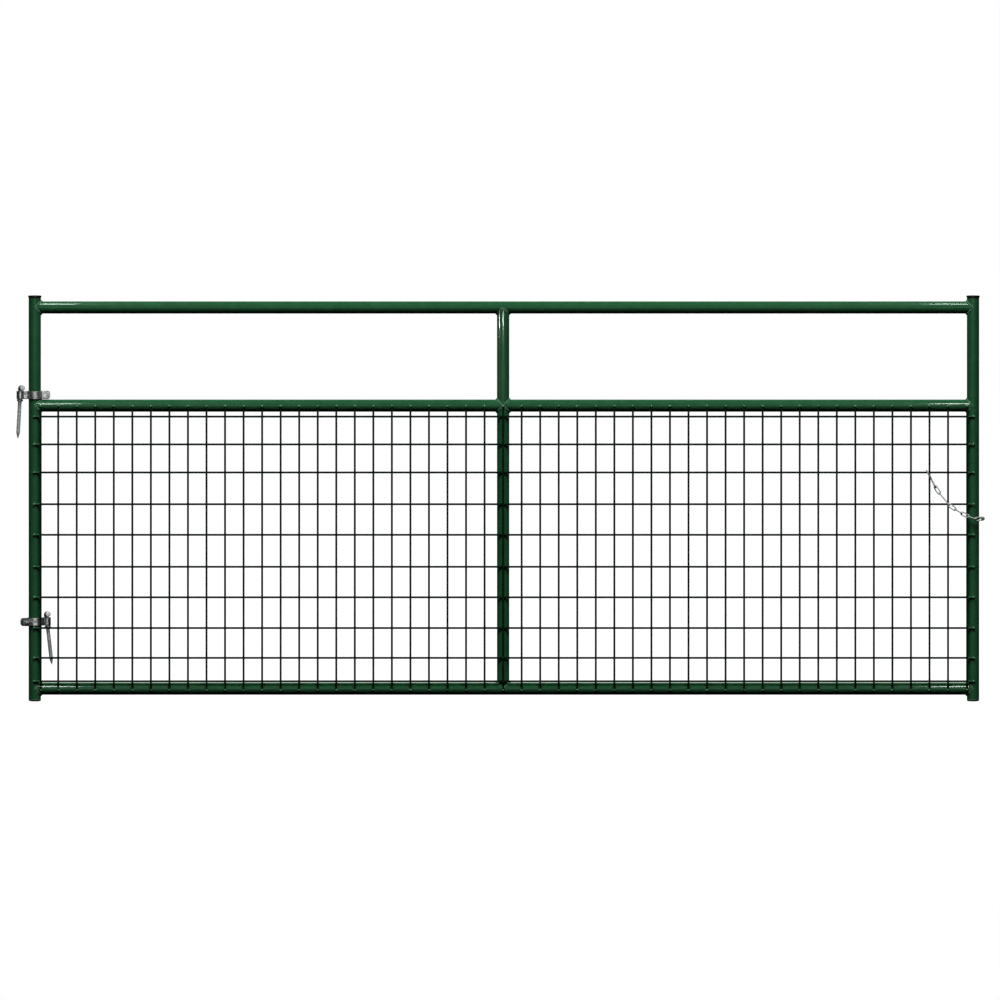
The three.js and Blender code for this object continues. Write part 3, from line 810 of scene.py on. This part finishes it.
class Look:
    """A procedural material, with short names for making and joining its nodes."""

    def __init__(self, name):
        self.material = bpy.data.materials.new(name)
        self.material.use_nodes = True
        self.tree = self.material.node_tree
        self.shader = self.tree.nodes["Principled BSDF"]
        self.place = self.node("ShaderNodeTexCoord").outputs["Object"]

    def node(self, kind, **settings):
        made = self.tree.nodes.new(kind)
        for key, value in settings.items():
            setattr(made, key, value)
        return made

    def join(self, output, socket):
        self.tree.links.new(output, socket)

    def noise(self, scale, detail=3, stretch=(1, 1, 1)):
        """Noise over the piece; scale is features in a metre."""
        mapped = self.node("ShaderNodeMapping")
        mapped.inputs["Scale"].default_value = stretch
        self.join(self.place, mapped.inputs["Vector"])
        made = self.node("ShaderNodeTexNoise")
        made.inputs["Scale"].default_value = scale
        made.inputs["Detail"].default_value = detail
        self.join(mapped.outputs["Vector"], made.inputs["Vector"])
        return made.outputs["Fac"]

    def cells(self, scale):
        """A flat random value in each crystal."""
        made = self.node("ShaderNodeTexVoronoi")
        made.inputs["Scale"].default_value = scale
        self.join(self.place, made.inputs["Vector"])
        grey = self.node("ShaderNodeSeparateColor")
        self.join(made.outputs["Color"], grey.inputs["Color"])
        return grey.outputs["Red"]

    def curvature(self):
        """Over a half on bumps and edges, under a half in corners."""
        return self.node("ShaderNodeNewGeometry").outputs["Pointiness"]

    def ramp(self, value, *stops):
        """Stops are (position, colour) or (position, grey)."""
        made = self.node("ShaderNodeValToRGB")
        made.color_ramp.elements[1].position = 1
        for i, (position, colour) in enumerate(stops):
            spots = made.color_ramp.elements
            spot = spots[i] if i < 2 else spots.new(position)
            spot.position = position
            spot.color = (*colour, 1) if isinstance(colour, tuple) else (colour, colour, colour, 1)
        self.join(value, made.inputs["Fac"])
        return made.outputs["Color"]

    def mixed(self, share, first, second):
        made = self.node("ShaderNodeMix", data_type="RGBA", blend_type="MIX")
        sockets = (made.inputs["Factor"], made.inputs[6], made.inputs[7])
        for socket, source in zip(sockets, (share, first, second)):
            if isinstance(source, (int, float)):
                socket.default_value = source
            elif isinstance(source, tuple):
                socket.default_value = (*source, 1)
            else:
                self.join(source, socket)
        return made.outputs[2]

    def bump(self, value, depth_mm, under=None):
        made = self.node("ShaderNodeBump")
        made.inputs["Strength"].default_value = 1.0
        made.inputs["Distance"].default_value = depth_mm * MM
        self.join(value, made.inputs["Height"])
        if under:
            self.join(under, made.inputs["Normal"])
        return made.outputs["Normal"]


def powder_coat(name, light, dark, coat, painted_highlight):
    """Mottled powder coat with orange peel. Bumps and edges are painted pale, a painted highlight, and
    corners are painted black, a painted shade.
    """
    look = Look(name)
    mottle = look.noise(34, 4)
    colour = look.ramp(mottle, (0.3, dark), (0.72, light))
    # painted highlight: bumps and edges, such as the weld spots, are painted pale
    colour = look.mixed(look.ramp(look.curvature(), (0.52, 0.0), (0.6, 0.85)), colour, painted_highlight)
    # painted shade: corners are painted black
    colour = look.mixed(look.ramp(look.curvature(), (0.42, 0.1), (0.49, 1.0)), (0, 0, 0), colour)
    look.join(colour, look.shader.inputs["Base Color"])
    rubbed = look.noise(11, 6)
    look.join(look.ramp(rubbed, (0.4, 0.5), (0.8, 0.62)), look.shader.inputs["Roughness"])
    peel = look.bump(look.noise(420, 2), 0.012)
    look.join(look.bump(look.noise(70, 3), 0.003, peel), look.shader.inputs["Normal"])
    look.shader.inputs["Specular IOR Level"].default_value = 0.1
    look.shader.inputs["Coat Weight"].default_value = coat
    look.shader.inputs["Coat Roughness"].default_value = 0.1
    return look.material


def wire_coat(name, light, dark, painted_light_on_stile):
    """The wire's dark coat. Where the level wires lie on the stiles it is painted about as pale as the
    frame's: painted light, as if lit like the frame.
    """
    look = Look(name)
    colour = look.ramp(look.noise(34, 4), (0.3, dark), (0.72, light))
    apart = look.node("ShaderNodeSeparateXYZ")
    look.join(look.place, apart.inputs["Vector"])
    off = look.node("ShaderNodeMath", operation="SUBTRACT")
    look.join(apart.outputs["X"], off.inputs[0])
    off.inputs[1].default_value = SPAN * MM / 2
    away = look.node("ShaderNodeMath", operation="ABSOLUTE")
    look.join(off.outputs["Value"], away.inputs[0])
    inside = look.node("ShaderNodeMath", operation="GREATER_THAN")
    look.join(away.outputs["Value"], inside.inputs[0])
    inside.inputs[1].default_value = (SPAN / 2 - TUBE_R + 3) * MM
    # painted light: the level wires' ends on the stiles are painted paler, as if lit like the frame
    look.join(look.mixed(inside.outputs["Value"], colour, painted_light_on_stile), look.shader.inputs["Base Color"])
    look.join(look.ramp(look.noise(11, 6), (0.4, 0.5), (0.8, 0.62)), look.shader.inputs["Roughness"])
    look.join(look.bump(look.noise(420, 2), 0.012), look.shader.inputs["Normal"])
    look.shader.inputs["Specular IOR Level"].default_value = 0.2
    return look.material


def moulded_plastic():
    look = Look("moulded_black_plastic")
    fine = look.noise(900, 3)
    look.join(look.ramp(look.noise(60), (0.35, 0.006), (0.75, 0.014)), look.shader.inputs["Base Color"])
    look.join(look.ramp(fine, (0.3, 0.34), (0.7, 0.5)), look.shader.inputs["Roughness"])
    look.join(look.bump(fine, 0.03), look.shader.inputs["Normal"])
    return look.material


def plated_steel(name, light, dark, grain, metallic):
    """Zinc plate: patchy crystals, uneven roughness and fine drawing lines."""
    look = Look(name)
    crystals = look.ramp(look.cells(220), (0, dark), (1, light))
    clouds = look.ramp(look.noise(160, 5), (0.3, dark), (0.7, light))
    patchy = look.mixed(0.45, crystals, clouds)
    look.join(patchy, look.shader.inputs["Base Color"])
    rough = look.ramp(look.noise(240, 4), (0.3, 0.2 + grain), (0.75, 0.38 + grain))
    look.join(rough, look.shader.inputs["Roughness"])
    lines = look.bump(look.noise(300, 3, (1, 1, 0.12)), 0.03 + 0.2 * grain)
    look.join(look.bump(look.noise(1300, 2), 0.02, lines), look.shader.inputs["Normal"])
    look.shader.inputs["Metallic"].default_value = metallic
    return look.material


# ---------------------------------------------------------------- studio


def pale_material(name, colour, strength):
    look = Look(name)
    look.join(look.ramp(look.noise(3), (0, colour * 0.985), (1, colour)), look.shader.inputs["Base Color"])
    look.shader.inputs["Roughness"].default_value = 0.9
    look.shader.inputs["Specular IOR Level"].default_value = 0.1
    look.shader.inputs["Emission Color"].default_value = (1, 1, 1, 1)
    look.shader.inputs["Emission Strength"].default_value = strength
    return look.material


def build_floor():
    """A wide floor that glows white to the camera. It isn't reflected, and it lights nothing."""
    half = 60
    mesh = bpy.data.meshes.new("floor")
    corners = [(-half, -half), (half, -half), (half, half), (-half, half)]
    mesh.from_pydata([(SPAN * MM / 2 + x, y, -0.0005) for x, y in corners], [], [(0, 1, 2, 3)])
    floor = bpy.data.objects.new("floor", mesh)
    bpy.context.scene.collection.objects.link(floor)
    floor.data.materials.append(pale_material("pale_floor", 0.04, 1.0))
    floor.visible_glossy = False
    floor.visible_diffuse = False


def softbox(name, at, aim, width, height, power, lights):
    """A rectangular area light that faces the aim point. Its lights are "surfaces" or "highlights"."""
    data = bpy.data.lights.new(name, "AREA")
    data.shape = "RECTANGLE"
    data.size, data.size_y = width, height
    data.energy = power
    light = bpy.data.objects.new(name, data)
    light.location = at
    light.rotation_euler = (Vector(aim) - Vector(at)).to_track_quat("-Z", "Y").to_euler()
    bpy.context.scene.collection.objects.link(light)
    light.visible_camera = False
    light.visible_glossy = lights == "highlights"
    light.visible_diffuse = lights == "surfaces"
    return light


def glint(node, spot, bearing, rise, width, height, strength):
    """A small light that reaches one piece and nothing else, and puts a pale streak on one spot of it.

    The bearing (round from straight ahead) and the rise are the light's direction, in degrees.
    """
    turn, up = math.radians(bearing), math.radians(rise)
    way = Vector((math.cos(up) * math.sin(turn), -math.cos(up) * math.cos(turn), math.sin(up)))
    at = spot + way * GLINT_DISTANCE
    light = softbox(f"{node}_glint", at, spot, width, height, strength * width * height, "highlights")
    lit = bpy.data.collections.new(light.name)
    lit.objects.link(bpy.data.objects[f"{node}_visual"])
    light.light_linking.receiver_collection = lit


def build_world():
    """White to the camera, and nearly black to everything else."""
    world = bpy.data.worlds.new("studio")
    world.use_nodes = True
    nodes, links = world.node_tree.nodes, world.node_tree.links
    seen = nodes["Background"]
    seen.inputs["Color"].default_value = (1, 1, 1, 1)
    dim = nodes.new("ShaderNodeBackground")
    dim.inputs["Color"].default_value = (0.9, 0.95, 1, 1)
    dim.inputs["Strength"].default_value = 0.006
    mix = nodes.new("ShaderNodeMixShader")
    path = nodes.new("ShaderNodeLightPath")
    links.new(path.outputs["Is Camera Ray"], mix.inputs["Fac"])
    links.new(dim.outputs["Background"], mix.inputs[1])
    links.new(seen.outputs["Background"], mix.inputs[2])
    links.new(mix.outputs["Shader"], nodes["World Output"].inputs["Surface"])
    bpy.context.scene.world = world


def build_studio():
    """The floor, the backdrop and the lights. The large lights are split: no light does both jobs."""
    aim = (SPAN * MM / 2, 0, 0.7)
    build_floor()
    build_world()
    softbox("key", (1.45, -7.0, 10.7), aim, 8.0, 6.0, 1850, "surfaces")
    softbox("rear_fill", (1.45, 9.0, 9.0), aim, 8.0, 6.0, 900, "surfaces")
    softbox("rear_card", (1.45, 14, 11), aim, 16.0, 6.0, 500, "highlights")
    softbox("front_card", (1.45, -20, 2.5), aim, 20.0, 5.0, 850, "highlights")
    for rail, rise in RAIL_GLINT_RISE.items():
        for x in (RAIL_GLINT_INSET, SPAN - RAIL_GLINT_INSET):
            glint(rail, Vector((x, 0, RAILS[rail])) * MM, 0, rise, *RAIL_GLINT)
    spot = Vector((CENTRE, 0, UPRIGHT_GLINT_Z)) * MM
    for bearing in UPRIGHT_GLINT_BEARINGS:
        glint("centre_upright_upper", spot, bearing, -CAMERA_ELEVATION, *UPRIGHT_GLINT)
    view = bpy.context.scene.view_settings
    view.view_transform = "Standard"
    view.look = "None"
    view.gamma = 0.85


def build_camera():
    """Square to the gate and a little above its middle, with no convergence."""
    data = bpy.data.cameras.new("camera")
    data.type = "ORTHO"
    data.ortho_scale = CAMERA_WIDTH
    elevation = math.radians(CAMERA_ELEVATION)
    camera = bpy.data.objects.new("camera", data)
    back = Vector((0, -math.cos(elevation), math.sin(elevation)))
    camera.location = CAMERA_AIM + back * CAMERA_DISTANCE
    camera.rotation_euler = (-back).to_track_quat("-Z", "Y").to_euler()
    data.clip_end = 200
    bpy.context.scene.collection.objects.link(camera)
    bpy.context.scene.camera = camera


# ---------------------------------------------------------------- the gate

# the last colour is the painted highlight on bumps and edges
green = powder_coat("green_powder_coat", (0.029, 0.134, 0.056), (0.022, 0.113, 0.046), 0.22, (0.3, 0.5, 0.38))
# the last colour is the painted light on the wires where they lie on the stiles
wire_green = wire_coat("green_wire_coat", (0.006, 0.022, 0.011), (0.004, 0.015, 0.008), (0.036, 0.142, 0.062))
plastic = moulded_plastic()
zinc = plated_steel("dull_zinc_plate", (0.97, 0.98, 0.97), (0.22, 0.23, 0.23), 0.1, 0.85)
bright = plated_steel("bright_zinc", (0.86, 0.9, 0.88), (0.54, 0.58, 0.56), 0.1, 0.4)
fastener = plated_steel("fastener_zinc", (0.97, 0.98, 0.97), (0.75, 0.77, 0.77), 0.02, 0.8)

build_stiles(green)
build_rails(green)
build_uprights(green)
build_caps(plastic)
build_feet(plastic)
build_wire_panel(wire_green)
build_hinges(zinc, bright, fastener)
build_chain(bright)
build_anchor(green)
build_snap(bright, zinc)
build_camera()
build_studio()
